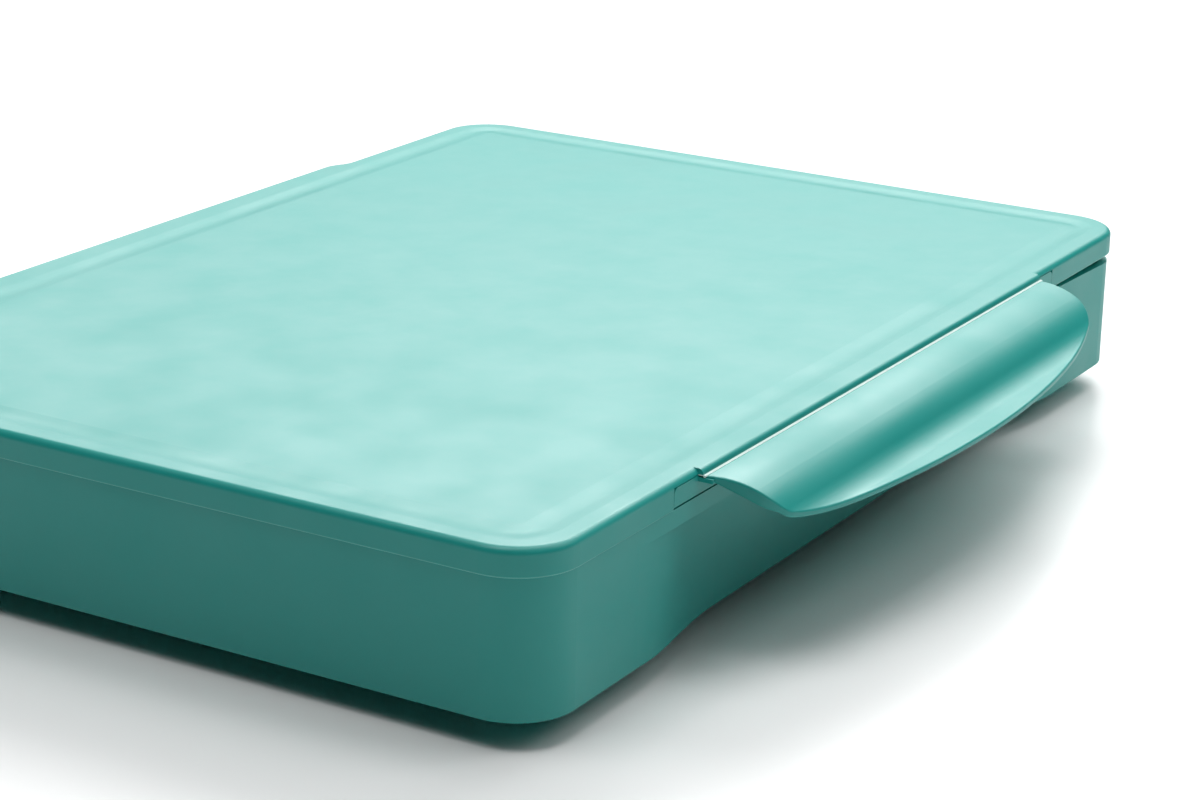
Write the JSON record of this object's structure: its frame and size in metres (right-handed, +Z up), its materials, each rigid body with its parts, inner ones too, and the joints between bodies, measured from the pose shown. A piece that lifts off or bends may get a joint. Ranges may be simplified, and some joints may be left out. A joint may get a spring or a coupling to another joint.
{
  "type": "gouache paint set box",
  "caption": "Shallow plastic paint box with a hinged lid, a wide dished flip latch, and inside a mixing palette over a rack of paint cups.",
  "frame": {"origin": "centre of the footprint on the table, latch lip and hinge bulge included", "axes": "+X along the latch side, -Y towards the latch, +Z up"},
  "size_m": [0.272, 0.2186, 0.039],
  "materials": {
    "mint_plastic": "satin moulded polypropylene",
    "film_plastic": "stress-whitened film of the same plastic",
    "pin_steel": "drawn wire",
    "seal_rubber": "soft matte silicone",
    "foot_rubber": "matte",
    "palette_plastic": "smooth white",
    "rack_plastic": "white",
    "cup_plastic": "translucent white",
    "gouache_1": "creamy paint, one family of colours",
    "gouache_2": "creamy paint, one family of colours",
    "gouache_3": "creamy paint, one family of colours",
    "gouache_4": "creamy paint, one family of colours",
    "gouache_5": "creamy paint, one family of colours",
    "gouache_6": "creamy paint, one family of colours"
  },
  "bodies": {
    "case": {"base_shell": "mint_plastic", "feet": "foot_rubber", "cup_rack": "rack_plastic", "cups_row_1": "cup_plastic", "cups_row_2": "cup_plastic", "cups_row_3": "cup_plastic", "cups_row_4": "cup_plastic", "cups_row_5": "cup_plastic", "cups_row_6": "cup_plastic", "paint_row_1": "gouache_1", "paint_row_2": "gouache_2", "paint_row_3": "gouache_3", "paint_row_4": "gouache_4", "paint_row_5": "gouache_5", "paint_row_6": "gouache_6"},
    "lid": {"lid_shell": "mint_plastic", "film_hinge": "film_plastic", "lid_seal": "seal_rubber", "palette": "palette_plastic", "hinge_pin_left": "pin_steel", "hinge_pin_right": "pin_steel"},
    "latch": {"latch_flap": "mint_plastic"}
  },
  "joints": [
    {"name": "lid_hinge", "type": "hinge", "parent": "case", "child": "lid", "pos_m": [0, 0.1064, 0.0347], "axis": [-1, 0, 0], "range_deg": [0, 110]},
    {"name": "latch_hinge", "type": "hinge", "parent": "lid", "child": "latch", "pos_m": [0, -0.0844, 0.03755], "axis": [-1, 0, 0], "range_deg": [0, 90]}
  ]
}
